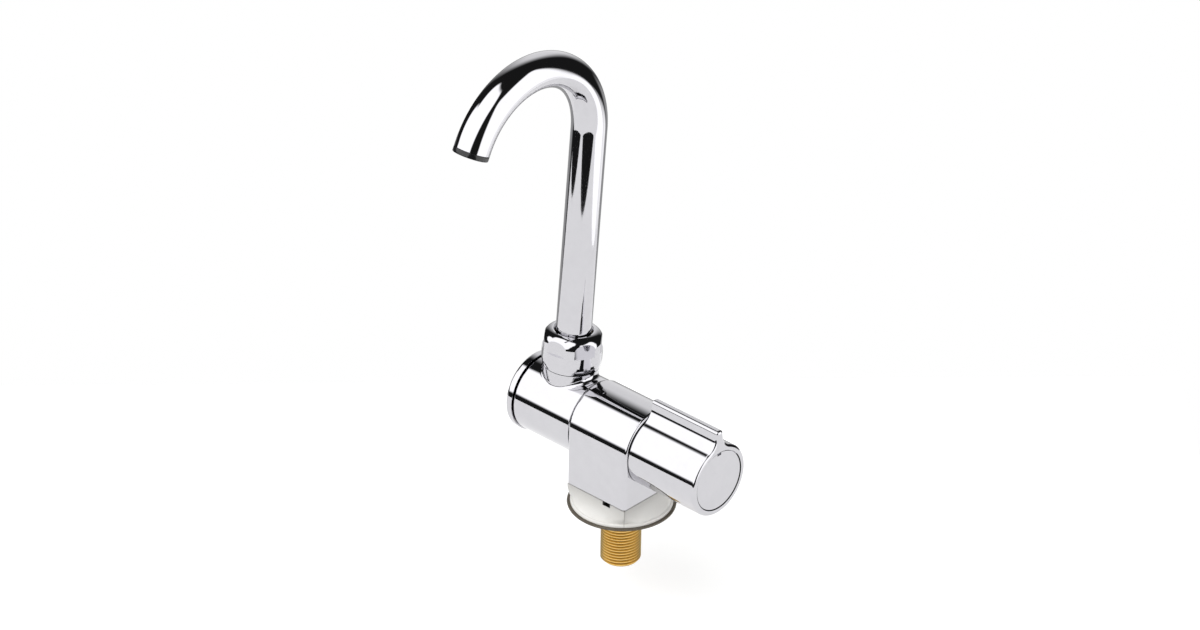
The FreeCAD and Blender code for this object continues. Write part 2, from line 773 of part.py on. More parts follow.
def rear_cap():
    """Flanged cap pushed into the carrier's recess, over the pivot screw."""
    edge = cap_edge_round
    half = edge * (1 - math.sqrt(0.5))
    plug_radius = recess_radius - press_gap
    plug_x = carrier_rear_x + cap_plug_length
    floor_x = cap_front_x - cap_thickness / 3
    cap = turned_body(
        (cap_rear_x, 0), (cap_rear_x, cap_radius - edge),
        ((cap_rear_x + half, cap_radius - half), (cap_rear_x + edge, cap_radius)),
        (cap_front_x, cap_radius), (cap_front_x, plug_radius), (plug_x, plug_radius),
        (plug_x, plug_radius - cap_plug_wall), (floor_x, plug_radius - cap_plug_wall), (floor_x, 0))
    return tilt(cap)


def collar_nut():
    """Barrel nut with a domed top and six wrench flats that end on a ledge."""
    shoulder = swivel_ring_top
    belly_middle = (nut_foot_radius + belly_bulge * (nut_radius - nut_foot_radius),
                    (nut_foot_height + nut_belly_height) / 2)
    dome_middle = (nut_top_radius + dome_bulge * (nut_radius - nut_top_radius),
                   nut_shoulder_height + dome_rise * (nut_top_height - nut_shoulder_height))
    barrel = turned_spout(
        (nut_bore_radius, nut_foot_height), (nut_foot_radius, nut_foot_height),
        (belly_middle, (nut_radius, nut_belly_height)), (nut_radius, nut_shoulder_height),
        (dome_middle, (nut_top_radius, nut_top_height)),
        (collar_opening_radius + nut_top_chamfer, nut_top_height),
        (collar_opening_radius, nut_top_height - nut_top_chamfer), (collar_opening_radius, shoulder),
        (nut_bore_radius, shoulder))
    base = FreeCAD.Vector(spout_x, 0, axis_height + nut_flat_height)
    up = FreeCAD.Vector(0, 0, 1)
    flats_length = nut_top_height - nut_flat_height + free_gap
    outside = Part.makeCylinder(2 * nut_radius, flats_length, base, up)
    turn = math.radians(nut_turn)
    facing = FreeCAD.Vector(math.sin(turn), -math.cos(turn), 0)
    outside = outside.cut(hex_prism(nut_across_flats, base, up, flats_length, facing))
    return tilt(barrel.cut(outside).removeSplitter())


def swivel_ring():
    """Slip ring between the ferrule's flange and the nut's shoulder."""
    return tilt(turned_spout(
        (collar_opening_radius, swivel_ring_bottom), (ferrule_flange_radius, swivel_ring_bottom),
        (ferrule_flange_radius, swivel_ring_top), (collar_opening_radius, swivel_ring_top)))


def spout_ring_heights():
    """Heights of the two spout seals."""
    middle = (ferrule_foot + ferrule_seat_height) / 2
    return [middle - spout_ring_spacing / 2, middle + spout_ring_spacing / 2]


def spout_ferrule():
    """Turned foot of the spout: a grooved spigot, a flange for the nut and a cup for the tube."""
    cup_radius = tube_radius + press_gap
    ferrule = turned_spout(
        (ferrule_bore_radius, ferrule_foot), (ferrule_radius, ferrule_foot),
        (ferrule_radius, ferrule_flange_bottom), (ferrule_flange_radius, ferrule_flange_bottom),
        (ferrule_flange_radius, ferrule_flange_top), (cup_radius, ferrule_flange_top),
        (cup_radius, ferrule_seat_height), (ferrule_bore_radius, ferrule_seat_height))
    floor = ferrule_radius - 2 * spout_ring_section - press_gap
    half = spout_ring_section + ring_groove_room
    for height in spout_ring_heights():
        ferrule = ferrule.cut(turned_spout(
            (floor, height - half), (socket_radius, height - half), (socket_radius, height + half),
            (floor, height + half)))
    return tilt(ferrule.removeSplitter())


def spout_orings():
    """The two seals of the swivel."""
    middle = groove_ring_radius(ferrule_radius, spout_ring_section)
    rings = [o_ring(FreeCAD.Vector(spout_x, 0, axis_height + height), FreeCAD.Vector(0, 0, 1), middle,
                    spout_ring_section) for height in spout_ring_heights()]
    return tilt(Part.makeCompound(rings))


def spout_bend():
    """Start, middle and end of the bend, and the outlet's direction, on the upright spout."""
    def on_bend(angle):
        turn = math.radians(angle)
        return FreeCAD.Vector(spout_x, -bend_radius * (1 - math.cos(turn)),
                              axis_height + bend_height + bend_radius * math.sin(turn))

    turn = math.radians(bend_angle)
    outlet = FreeCAD.Vector(0, -math.sin(turn), math.cos(turn))
    return on_bend(0), on_bend(bend_angle / 2), on_bend(bend_angle), outlet


def swept_rod(radius):
    """Round rod along the spout's line, from the ferrule's seat to the tube's end."""
    start = FreeCAD.Vector(spout_x, 0, axis_height + ferrule_seat_height)
    bend_start, bend_middle, bend_end, outlet = spout_bend()
    rise = Part.LineSegment(start, bend_start).toShape()
    bend = Part.Arc(bend_start, bend_middle, bend_end).toShape()
    run = Part.LineSegment(bend_end, bend_end + outlet * tube_end_run).toShape()
    section = Part.Wire(Part.makeCircle(radius, start, FreeCAD.Vector(0, 0, 1)))
    return Part.Wire([rise, bend, run]).makePipeShell([section], True, False)


def spout_tube():
    """Bent chromed tube."""
    return tilt(swept_rod(tube_radius).cut(swept_rod(tube_radius - tube_wall)))


def at_outlet(shape):
    """Move a piece made about +Z so that its origin is the tube's end and +Z leaves the outlet."""
    bend_end, outlet = spout_bend()[2:]
    turn = FreeCAD.Rotation(FreeCAD.Vector(0, 0, 1), outlet)
    shape.Placement = FreeCAD.Placement(bend_end + outlet * tube_end_run, turn)
    return tilt(shape)


def outlet_nozzle():
    """Black ring with an insert that sits in the tube's end."""
    insert_radius = tube_radius - tube_wall - press_gap
    edge = nozzle_edge_round
    half = edge * (1 - math.sqrt(0.5))
    nozzle = turned_shank(
        (nozzle_bore_radius, -nozzle_insert), (insert_radius, -nozzle_insert), (insert_radius, 0),
        (tube_radius, 0), (tube_radius, nozzle_length - edge),
        ((tube_radius - half, nozzle_length - half), (tube_radius - edge, nozzle_length)),
        (nozzle_bore_radius, nozzle_length))
    return at_outlet(nozzle)


def flow_straightener():
    """Perforated insert across the nozzle's bore."""
    up = FreeCAD.Vector(0, 0, 1)
    floor = FreeCAD.Vector(0, 0, -nozzle_insert)
    insert = Part.makeCylinder(nozzle_bore_radius - press_gap, straightener_thickness, floor, up)
    holes = [Part.makeCylinder(straightener_hole_radius, straightener_thickness, floor, up)]
    for index in range(straightener_hole_count):
        angle = 2 * math.pi * index / straightener_hole_count
        place = floor + FreeCAD.Vector(math.cos(angle), math.sin(angle), 0) * straightener_hole_circle
        holes.append(Part.makeCylinder(straightener_hole_radius, straightener_thickness, place, up))
    return at_outlet(insert.cut(Part.makeCompound(holes)))


pieces = {
    "body_block": body_block,
    "inlet_shank": inlet_shank,
    "base_foot": base_foot,
    "deck_gasket": deck_gasket,
    "seat_seal": seat_seal,
    "fixed_disc": fixed_disc,
    "cartridge_housing": cartridge_housing,
    "housing_oring": housing_oring,
    "pivot_spigot": pivot_spigot,
    "pivot_orings": pivot_orings,
    "friction_washer": friction_washer,
    "pivot_washer": pivot_washer,
    "pivot_screw": pivot_screw,
    "fold_stop_pin": stop_pin,
    "knob_shell": knob_shell,
    "knob_end_disc": knob_end_disc,
    "knob_screw": knob_screw,
    "valve_spindle": valve_spindle,
    "spindle_oring": spindle_oring,
    "spindle_clip": spindle_clip,
    "moving_disc": moving_disc,
    "spout_carrier": spout_carrier,
    "rear_cap": rear_cap,
    "collar_nut": collar_nut,
    "swivel_ring": swivel_ring,
    "spout_tube": spout_tube,
    "spout_ferrule": spout_ferrule,
    "spout_orings": spout_orings,
    "outlet_nozzle": outlet_nozzle,
    "flow_straightener": flow_straightener,
}

os.makedirs("parts", exist_ok=True)
for name, make in pieces.items():
    shape = make()
    shape.exportStep("parts/" + name + ".step")
    print(name, "solids", len(shape.Solids), "valid", shape.isValid(), "volume", round(shape.Volume, 2))
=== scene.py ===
import logging
import math
from collections.abc import Sequence
from dataclasses import dataclass, field
from enum import Enum

import bmesh
import bpy
from mathutils import Matrix, Vector


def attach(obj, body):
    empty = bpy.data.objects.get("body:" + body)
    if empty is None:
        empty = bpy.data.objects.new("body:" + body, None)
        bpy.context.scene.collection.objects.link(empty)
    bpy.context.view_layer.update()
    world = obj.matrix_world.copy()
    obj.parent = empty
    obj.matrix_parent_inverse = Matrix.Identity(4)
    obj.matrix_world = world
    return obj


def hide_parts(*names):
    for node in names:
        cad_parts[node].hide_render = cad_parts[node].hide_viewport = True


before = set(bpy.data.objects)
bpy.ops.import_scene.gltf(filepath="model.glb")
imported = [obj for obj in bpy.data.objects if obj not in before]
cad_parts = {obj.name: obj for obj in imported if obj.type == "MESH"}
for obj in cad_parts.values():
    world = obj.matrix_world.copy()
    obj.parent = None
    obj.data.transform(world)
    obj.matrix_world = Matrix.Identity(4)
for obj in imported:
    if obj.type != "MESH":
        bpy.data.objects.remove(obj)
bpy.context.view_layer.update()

log = logging.getLogger("cold_water_tap")

MM = 0.001
FULL_TURN = 2 * math.pi
SMOOTH_ANGLE = math.radians(32.0)
SOFTENED_ANGLE = math.radians(40.0)
SOFT_EDGE_STEPS = 3
Pair = tuple[float, float]
Triple = tuple[float, float, float]
Colour = Triple
Socket = bpy.types.NodeSocket
Value = float | Socket


class Slot(Enum):
    """Material slots of the record, each with one finish."""

    CHROME = "chrome"
    THREAD_BRASS = "thread_brass"
    BRASS = "brass"
    WHITE_PLASTIC = "white_plastic"
    GASKET_RUBBER = "gasket_rubber"
    BLACK_RUBBER = "black_rubber"
    CERAMIC = "ceramic"
    STEEL = "steel"
    SLIP_PLASTIC = "slip_plastic"
    BLACK_PLASTIC = "black_plastic"


class SocketKind(Enum):
    """Kinds of socket on an effect's node group."""

    VALUE = "NodeSocketFloat"
    VECTOR = "NodeSocketVector"


class Graph:
    """Adds nodes to one shader tree and joins them."""

    def __init__(self, tree: bpy.types.NodeTree) -> None:
        """Take over a tree and empty it."""
        self.tree = tree
        tree.nodes.clear()

    def add(self, kind: str, inputs: dict[str | int, object] | None = None,
            **settings: object) -> bpy.types.Node:
        """Add a node.

        Args:
            kind: Type of the node, without the common prefix of shader nodes.
            inputs: Constants, or sockets to link from, by the input's name or place.
            settings: Options of the node itself.

        Returns:
            The new node.
        """
        node = self.tree.nodes.new(kind if kind.startswith("NodeGroup") else "ShaderNode" + kind)
        for name, value in settings.items():
            setattr(node, name, value)
        for key, value in (inputs or {}).items():
            if isinstance(value, Socket):
                self.tree.links.new(value, node.inputs[key])
            else:
                node.inputs[key].default_value = value
        return node

    def math(self, operation: str, *values: Value) -> Socket:
        """Add a math node and return its output."""
        return self.add("Math", dict(enumerate(values)), operation=operation).outputs[0]

    def span(self, value: Socket, start: tuple[Value, Value], end: tuple[Value, Value],
             smooth: bool = False) -> Socket:
        """Map a value from one range to another, held at both ends.

        Args:
            value: What is mapped.
            start: Value that begins the range, and what it becomes.
            end: Value that ends the range, and what it becomes.
            smooth: Ease in and out instead of a straight ramp.

        Returns:
            The mapped value.
        """
        inputs = {"Value": value, "From Min": start[0], "To Min": start[1],
                  "From Max": end[0], "To Max": end[1]}
        kind = "SMOOTHSTEP" if smooth else "LINEAR"
        return self.add("MapRange", inputs, interpolation_type=kind).outputs["Result"]

    def blend(self, share: Socket, first: Colour | Socket, second: Colour | Socket) -> Socket:
        """Mix two colours by a share and return the mixed colour."""
        ends = [end if isinstance(end, Socket) else (*end, 1.0) for end in (first, second)]
        return self.add("Mix", {0: share, 6: ends[0], 7: ends[1]}, data_type="RGBA").outputs[2]

    def noise(self, vector: Socket, scale: Value, detail: float) -> Socket:
        """Add a noise texture and return its value."""
        return self.add("TexNoise", {"Vector": vector, "Scale": scale, "Detail": detail}).outputs["Fac"]


@dataclass
class Effects:
    """Surface effects that several finishes share, each a node group that is built once."""

    patch_detail: float = 3.0
    patch_edge: float = 0.22
    streak_stretch: Triple = (1.0, 5.0, 0.6)
    streak_fineness: float = 12.0
    streak_detail: float = 4.0
    streak_start: Pair = (0.35, 0.25)
    streak_end: Pair = (0.7, 1.0)
    grain_detail: float = 4.0
    mottle_fineness: float = 0.08
    mottle_detail: float = 2.0
    grain_share: float = 0.6
    grain_range: Pair = (0.3, 0.7)
    line_detail: float = 2.0

    def __post_init__(self) -> None:
        """Build the groups."""
        self.handling_marks = self._handling_marks()
        self.speckle = self._speckle()
        self.lathe_lines = self._lathe_lines()

    @staticmethod
    def group(name: str, inputs: dict[str, SocketKind], output: str) -> tuple[Graph, bpy.types.Node]:
        """Start a node group with one value as its output.

        Args:
            name: Name of the group.
            inputs: Kind of each input socket by its name.
            output: Name of the output socket.

        Returns:
            The group's graph and its input node.
        """
        tree = bpy.data.node_groups.new(name, "ShaderNodeTree")
        for label, kind in inputs.items():
            tree.interface.new_socket(label, in_out="INPUT", socket_type=kind.value)
        tree.interface.new_socket(output, in_out="OUTPUT", socket_type=SocketKind.VALUE.value)
        graph = Graph(tree)
        return graph, graph.add("NodeGroupInput")

    def _handling_marks(self) -> bpy.types.NodeTree:
        """Soft smears in patches, as fingers and a cloth leave them.

        Returns:
            The node group.
        """
        graph, given = self.group(
            "handling_marks",
            {"Vector": SocketKind.VECTOR, "Scale": SocketKind.VALUE, "Cover": SocketKind.VALUE}, "Mask")
        vector = given.outputs["Vector"]
        scale = given.outputs["Scale"]
        patches = graph.noise(vector, scale, self.patch_detail)
        threshold = graph.math("SUBTRACT", 1.0, given.outputs["Cover"])
        patches = graph.span(graph.math("SUBTRACT", patches, threshold),
                             (0.0, 0.0), (self.patch_edge, 1.0), True)
        stretched = graph.add("Mapping", {"Vector": vector, "Scale": self.streak_stretch}).outputs[0]
        fine_scale = graph.math("MULTIPLY", scale, self.streak_fineness)
        streaks = graph.noise(stretched, fine_scale, self.streak_detail)
        streaks = graph.span(streaks, self.streak_start, self.streak_end)
        graph.add("NodeGroupOutput", {"Mask": graph.math("MULTIPLY", patches, streaks)})
        return graph.tree

    def _speckle(self) -> bpy.types.NodeTree:
        """Fine grain and coarse mottle together, from 0 to 1, for pigment, rubber and moulded skins.

        Returns:
            The node group.
        """
        graph, given = self.group(
            "speckle", {"Vector": SocketKind.VECTOR, "Scale": SocketKind.VALUE}, "Grain")
        vector = given.outputs["Vector"]
        scale = given.outputs["Scale"]
        fine = graph.noise(vector, scale, self.grain_detail)
        coarse_scale = graph.math("MULTIPLY", scale, self.mottle_fineness)
        coarse = graph.noise(vector, coarse_scale, self.mottle_detail)
        both = graph.math("ADD", graph.math("MULTIPLY", fine, self.grain_share),
                          graph.math("MULTIPLY", coarse, 1.0 - self.grain_share))
        low, high = self.grain_range
        graph.add("NodeGroupOutput", {"Grain": graph.span(both, (low, 0.0), (high, 1.0))})
        return graph.tree

    def _lathe_lines(self) -> bpy.types.NodeTree:
        """Fine uneven lines across a coordinate, as a turning tool leaves them.

        Returns:
            The node group.
        """
        graph, given = self.group(
            "lathe_lines", {"Along": SocketKind.VALUE, "Pitch": SocketKind.VALUE}, "Lines")
        steps = graph.math("DIVIDE", given.outputs["Along"], given.outputs["Pitch"])
        vector = graph.add("CombineXYZ", {"X": steps}).outputs[0]
        graph.add("NodeGroupOutput", {"Lines": graph.noise(vector, 1.0, self.line_detail)})
        return graph.tree


@dataclass(frozen=True)
class Coat:
    """What a finish works with: a material's graph and shader, and the shared effects."""

    graph: Graph
    shader: bpy.types.Node
    coords: Socket
    effects: Effects

    def make_metal(self) -> None:
        """Turn the shader into metal."""
        self.shader.inputs["Metallic"].default_value = 1.0

    def marks(self, scale: float, cover: float) -> Socket:
        """Lay handling marks and return their mask."""
        inputs = {"Vector": self.coords, "Scale": scale, "Cover": cover}
        return self.graph.add("Group", inputs, node_tree=self.effects.handling_marks).outputs["Mask"]

    def grain(self, scale: float) -> Socket:
        """Lay speckle and return its grain."""
        inputs = {"Vector": self.coords, "Scale": scale}
        return self.graph.add("Group", inputs, node_tree=self.effects.speckle).outputs["Grain"]

    def lines(self, along: Socket, pitch: float) -> Socket:
        """Lay lathe lines across a coordinate and return their height."""
        inputs = {"Along": along, "Pitch": pitch}
        return self.graph.add("Group", inputs, node_tree=self.effects.lathe_lines).outputs["Lines"]

    def bumped(self, height: Socket, depth: float) -> Socket:
        """Turn a height from 0 to 1 into a normal, with its depth in metres."""
        inputs = {"Height": height, "Distance": depth, "Strength": 1.0}
        return self.graph.add("Bump", inputs).outputs["Normal"]


@dataclass(frozen=True)
class Finish:
    """A finish that makes its own material."""

    name: str
    colour: Colour
    roughness: float

    def material(self, effects: Effects) -> bpy.types.Material:
        """Make the material.

        Args:
            effects: The shared effects.

        Returns:
            The finished material.
        """
        made = bpy.data.materials.new(self.name)
        made.use_nodes = True
        graph = Graph(made.node_tree)
        coords = graph.add("TexCoord").outputs["Object"]
        base = {"Base Color": (*self.colour, 1.0), "Roughness": self.roughness}
        shader = graph.add("BsdfPrincipled", base)
        for socket, value in self.surface(Coat(graph, shader, coords, effects)).items():
            graph.tree.links.new(value, shader.inputs[socket])
        graph.add("OutputMaterial", {"Surface": shader.outputs["BSDF"]})
        return made

    def surface(self, coat: Coat) -> dict[str, Socket]:
        """Give what changes over the surface.

        Args:
            coat: The material in the making.

        Returns:
            Sockets to link, by the shader's input.
        """
        raise NotImplementedError


@dataclass(frozen=True)
class Chrome(Finish):
    """Bright plating with a faint ripple and a few handling marks."""

    shade: Colour = (0.54, 0.535, 0.558)
    tone_scale: float = 260.0
    smeared: float = 0.1
    mark_scale: float = 40.0
    mark_cover: float = 0.42
    ripple_scale: float = 55.0
    ripple_detail: float = 1.0
    ripple_depth: float = 0.006 * MM

    def surface(self, coat: Coat) -> dict[str, Socket]:
        """Vary the plating's tone and gloss a little, over a slow ripple.

        Args:
            coat: The material in the making.

        Returns:
            Sockets to link, by the shader's input.
        """
        coat.make_metal()
        graph = coat.graph
        marks = coat.marks(self.mark_scale, self.mark_cover)
        tone = coat.grain(self.tone_scale)
        ripple = graph.noise(coat.coords, self.ripple_scale, self.ripple_detail)
        return {"Base Color": graph.blend(tone, self.colour, self.shade),
                "Roughness": graph.span(marks, (0.0, self.roughness), (1.0, self.smeared)),
                "Normal": coat.bumped(ripple, self.ripple_depth)}


@dataclass(frozen=True)
class ThreadBrass(Finish):
    """Cut brass thread: bright crests, painted shade in the roots, and tool lines along the flanks."""

    root_shade: Colour = (0.45, 0.28, 0.085)
    root_radius: float = 7.5 * MM
    crest_radius: float = 8.3 * MM
    grain_scale: float = 900.0
    patch_share: float = 0.7
    dulling: float = 0.15
    line_pitch: float = 0.05 * MM
    line_depth: float = 0.01 * MM

    def surface(self, coat: Coat) -> dict[str, Socket]:
        """Paint shade into the brass towards the thread's roots, and darken it in patches.

        Args:
            coat: The material in the making.

        Returns:
            Sockets to link, by the shader's input.
        """
        coat.make_metal()
        graph = coat.graph
        place = graph.add("SeparateXYZ", {"Vector": coat.coords}).outputs
        flat = graph.add("CombineXYZ", {"X": place["X"], "Y": place["Y"]}).outputs[0]
        radius = graph.add("VectorMath", {0: flat}, operation="LENGTH").outputs["Value"]
        # Painted shade: the brass darkens from the crests down into the roots.
        crest = graph.span(radius, (self.root_radius, 0.0), (self.crest_radius, 1.0))
        grain = coat.grain(self.grain_scale)
        lines = coat.lines(radius, self.line_pitch)
        unshaded_and_clean = graph.math("MULTIPLY", crest, graph.span(grain, (0.0, self.patch_share), (1.0, 1.0)))
        dull = self.roughness + self.dulling
        return {"Base Color": graph.blend(unshaded_and_clean, self.root_shade, self.colour),
                "Roughness": graph.span(grain, (0.0, self.roughness), (1.0, dull)),
                "Normal": coat.bumped(lines, self.line_depth)}


@dataclass(frozen=True)
class TurnedMetal(Finish):
    """Bare turned metal with fine tool lines and a slight bloom."""

    bloom: Colour = (0.5, 0.5, 0.5)
    bloom_scale: float = 400.0
    dulling: float = 0.2
    line_range: Pair = (0.3, 0.7)
    line_pitch: float = 0.12 * MM
    line_depth: float = 0.006 * MM

    def surface(self, coat: Coat) -> dict[str, Socket]:
        """Lay tool lines along the piece, with bloom in patches.

        Args:
            coat: The material in the making.

        Returns:
            Sockets to link, by the shader's input.
        """
        coat.make_metal()
        graph = coat.graph
        along = graph.add("SeparateXYZ", {"Vector": coat.coords}).outputs["X"]
        lines = coat.lines(along, self.line_pitch)
        bloom = coat.grain(self.bloom_scale)
        low, high = self.line_range
        dull = self.roughness + self.dulling
        return {"Base Color": graph.blend(bloom, self.colour, self.bloom),
                "Roughness": graph.span(lines, (low, self.roughness), (high, dull)),
                "Normal": coat.bumped(lines, self.line_depth)}


@dataclass(frozen=True)
class MouldedPlastic(Finish):
    """Moulded plastic with a fine skin, a little unevenness of pigment and dull handled patches."""

    shade: Colour = (0.7, 0.7, 0.7)
    skin_scale: float = 1800.0
    skin_depth: float = 0.004 * MM
    mark_scale: float = 60.0
    mark_cover: float = 0.45
    dulling: float = 0.15
    body_light: float = 0.0
    body_tint: Triple = (1.0, 0.9, 0.8)
    body_reach: float = 1.0 * MM

    def surface(self, coat: Coat) -> dict[str, Socket]:
        """Vary pigment and gloss over a fine skin.

        Args:
            coat: The material in the making.

        Returns:
            Sockets to link, by the shader's input.
        """
        coat.shader.inputs["Subsurface Weight"].default_value = self.body_light
        coat.shader.inputs["Subsurface Radius"].default_value = self.body_tint
        coat.shader.inputs["Subsurface Scale"].default_value = self.body_reach
        graph = coat.graph
        grain = coat.grain(self.skin_scale)
        marks = coat.marks(self.mark_scale, self.mark_cover)
        dull = self.roughness + self.dulling
        return {"Base Color": graph.blend(grain, self.colour, self.shade),
                "Roughness": graph.span(marks, (0.0, self.roughness), (1.0, dull)),
                "Normal": coat.bumped(grain, self.skin_depth)}


@dataclass(frozen=True)
class FootPlastic(MouldedPlastic):
    """Plastic of the foot, with painted shade in its slot, along the front creases and up under the block.
    """

    # Near-black colour of the painted shade in the slot, along the creases and under the block.
    painted_shade: Colour = (0.006, 0.0055, 0.005)
    slot_middle: Triple = (6.7 * MM, -14.4 * MM, 9.3 * MM)
    slot_half: Triple = (2.1 * MM, 2.85 * MM, 0.85 * MM)
    slot_fade: float = 0.94
    crease_half: float = 0.5 * MM
    crease_shade: float = 0.3
    rim_height: float = 2.2 * MM
    block_height: float = 10.3 * MM
    block_shade: float = 0.34

    def surface(self, coat: Coat) -> dict[str, Socket]:
        """Paint shade into the plastic in the slot and, faintly, along the creases and towards the block.

        Args:
            coat: The material in the making.

        Returns:
            Sockets to link, by the shader's input.
        """
        sockets = super().surface(coat)
        graph = coat.graph
        # Painted shade in the slot's recess: near black inside the slot, fading at its mouth.
        offset = graph.add("VectorMath", {0: coat.coords, 1: self.slot_middle}, operation="SUBTRACT")
        share = graph.add("VectorMath", {0: offset.outputs[0], 1: self.slot_half}, operation="DIVIDE")
        share = graph.add("VectorMath", {0: share.outputs[0]}, operation="ABSOLUTE")
        sides = graph.add("SeparateXYZ", {"Vector": share.outputs[0]}).outputs
        farthest = graph.math("MAXIMUM", graph.math("MAXIMUM", sides["X"], sides["Y"]), sides["Z"])
        inside = graph.span(farthest, (self.slot_fade, 1.0), (1.0, 0.0))
        place = graph.add("SeparateXYZ", {"Vector": coat.coords}).outputs
        # Painted shade as a faint dark line along the two front creases.
        aside = graph.math("SUBTRACT", place["X"], graph.math("ABSOLUTE", place["Y"]))
        painted_crease_shade = graph.span(graph.math("ABSOLUTE", aside), (0.0, self.crease_shade), (self.crease_half, 0.0))
        # Painted shade that grows from the rim up towards the block's underside.
        under_block_shade = graph.span(place["Z"], (self.rim_height, 0.0), (self.block_height, self.block_shade))
        painted_shade_share = graph.math("MAXIMUM", inside, graph.math("ADD", painted_crease_shade, under_block_shade))
        return sockets | {"Base Color": graph.blend(painted_shade_share, sockets["Base Color"], self.painted_shade)}


@dataclass(frozen=True)
class Rubber(Finish):
    """Matt rubber with a dusty, mottled skin."""

    dust: Colour = (0.2, 0.19, 0.175)
    dust_power: float = 2.0
    dust_roughness: float = 0.85
    skin_scale: float = 1500.0
    skin_depth: float = 0.02 * MM

    def surface(self, coat: Coat) -> dict[str, Socket]:
        """Mottle the skin with dust that also dulls it.

        Args:
            coat: The material in the making.

        Returns:
            Sockets to link, by the shader's input.
        """
        graph = coat.graph
        grain = coat.grain(self.skin_scale)
        dust = graph.math("POWER", grain, self.dust_power)
        return {"Base Color": graph.blend(dust, self.colour, self.dust),
                "Roughness": graph.span(dust, (0.0, self.roughness), (1.0, self.dust_roughness)),
                "Normal": coat.bumped(grain, self.skin_depth)}


@dataclass(frozen=True)
class Ceramic(Finish):
    """Lapped ceramic, nearly white, with faint darker grains."""

    grain_colour: Colour = (0.72, 0.70, 0.66)
    grain_scale: float = 2500.0
    grain_power: float = 4.0
    dulling: float = 0.2

    def surface(self, coat: Coat) -> dict[str, Socket]:
        """Speckle the ceramic and polish it unevenly.

        Args:
            coat: The material in the making.

        Returns:
            Sockets to link, by the shader's input.
        """
        graph = coat.graph
        spots = graph.math("POWER", coat.grain(self.grain_scale), self.grain_power)
        dull = self.roughness + self.dulling
        return {"Base Color": graph.blend(spots, self.colour, self.grain_colour),
                "Roughness": graph.span(spots, (0.0, self.roughness), (1.0, dull))}


FINISHES: dict[Slot, Finish] = {
    Slot.CHROME: Chrome("chrome_plating", (0.57, 0.565, 0.588), 0.04),
    Slot.THREAD_BRASS: ThreadBrass("thread_brass", (0.89, 0.655, 0.245), 0.25),
    Slot.BRASS: TurnedMetal("turned_brass", (0.78, 0.55, 0.25), 0.25, (0.66, 0.45, 0.20)),
    Slot.WHITE_PLASTIC: FootPlastic("white_foot_plastic", (0.69, 0.68, 0.655), 0.3, (0.66, 0.647, 0.62),
                                    body_light=0.15),
    Slot.GASKET_RUBBER: Rubber("gasket_rubber", (0.058, 0.047, 0.032), 0.6, (0.15, 0.13, 0.1)),
    Slot.BLACK_RUBBER: Rubber("seal_rubber", (0.015, 0.015, 0.016), 0.45, (0.04, 0.04, 0.04)),
    Slot.CERAMIC: Ceramic("valve_ceramic", (0.86, 0.85, 0.82), 0.15),
    Slot.STEEL: TurnedMetal("stainless_steel", (0.60, 0.585, 0.56), 0.28, (0.52, 0.51, 0.49)),
    Slot.SLIP_PLASTIC: MouldedPlastic("slip_plastic", (0.78, 0.77, 0.72), 0.4, (0.74, 0.73, 0.68)),
    Slot.BLACK_PLASTIC: MouldedPlastic("outlet_plastic", (0.005, 0.005, 0.006), 0.16, (0.009, 0.009, 0.01)),
}


class Rack:
    """Holds the material of each slot and puts it on pieces."""

    def __init__(self, effects: Effects) -> None:
        """Make every material once."""
        self.materials = {slot: finish.material(effects) for slot, finish in FINISHES.items()}

    def dress_nodes(self, nodes: dict[str, Slot]) -> None:
        """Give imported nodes, whose shape stays, their finish.

        Args:
            nodes: The slot of each node, by the node's name.
        """
        for name, slot in nodes.items():
            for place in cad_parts[name].material_slots:
                place.material = self.materials[slot]
            log.info("%s keeps its solid, dressed in %s", name, slot.value)

    def place(self, mesh: bmesh.types.BMesh, node: str, body: str, slot: Slot) -> bpy.types.Object:
        """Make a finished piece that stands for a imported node.

        Args:
            mesh: The modelled shape, in place; it is freed.
            node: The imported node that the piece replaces.
            body: The body that it rides on.
            slot: The material slot that it is dressed from.

        Returns:
            The new object.
        """
        data = bpy.data.meshes.new(node + "_mesh")
        mesh.to_mesh(data)
        mesh.free()
        data.shade_smooth()
        data.set_sharp_from_angle(angle=SMOOTH_ANGLE)
        data.materials.append(self.materials[slot])
        piece = bpy.data.objects.new(node + "_fine", data)
        bpy.context.scene.collection.objects.link(piece)
        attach(piece, body)
        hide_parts(node)
        log.info("%s: %d faces, dressed in %s", piece.name, len(data.polygons), slot.value)
        return piece


def turned_ring(outline: Sequence[Pair], segments: int, soft_edge: float) -> bmesh.types.BMesh:
    """Turn a closed outline into a ring about Z and soften its corners.

    Args:
        outline: Corners as (radius, height).
        segments: Steps of the full turn.
        soft_edge: Width of the softened corners.

    Returns:
        The ring's mesh.
    """
    mesh = bmesh.new()
    corners = [mesh.verts.new((radius, 0.0, height)) for radius, height in outline]
    edges = [mesh.edges.new((here, after)) for here, after in zip(corners, corners[1:] + corners[:1])]
    bmesh.ops.spin(mesh, geom=corners + edges, cent=(0, 0, 0), axis=(0, 0, 1), angle=FULL_TURN,
                   steps=segments, use_merge=True)
    bmesh.ops.recalc_face_normals(mesh, faces=mesh.faces)
    sharp = [edge for edge in mesh.edges if edge.calc_face_angle(0.0) > SOFTENED_ANGLE]
    bmesh.ops.bevel(mesh, geom=sharp, offset=soft_edge, segments=SOFT_EDGE_STEPS, profile=0.5,
                    affect="EDGES", material=-1, clamp_overlap=True)
    bmesh.ops.recalc_face_normals(mesh, faces=mesh.faces)
    return mesh


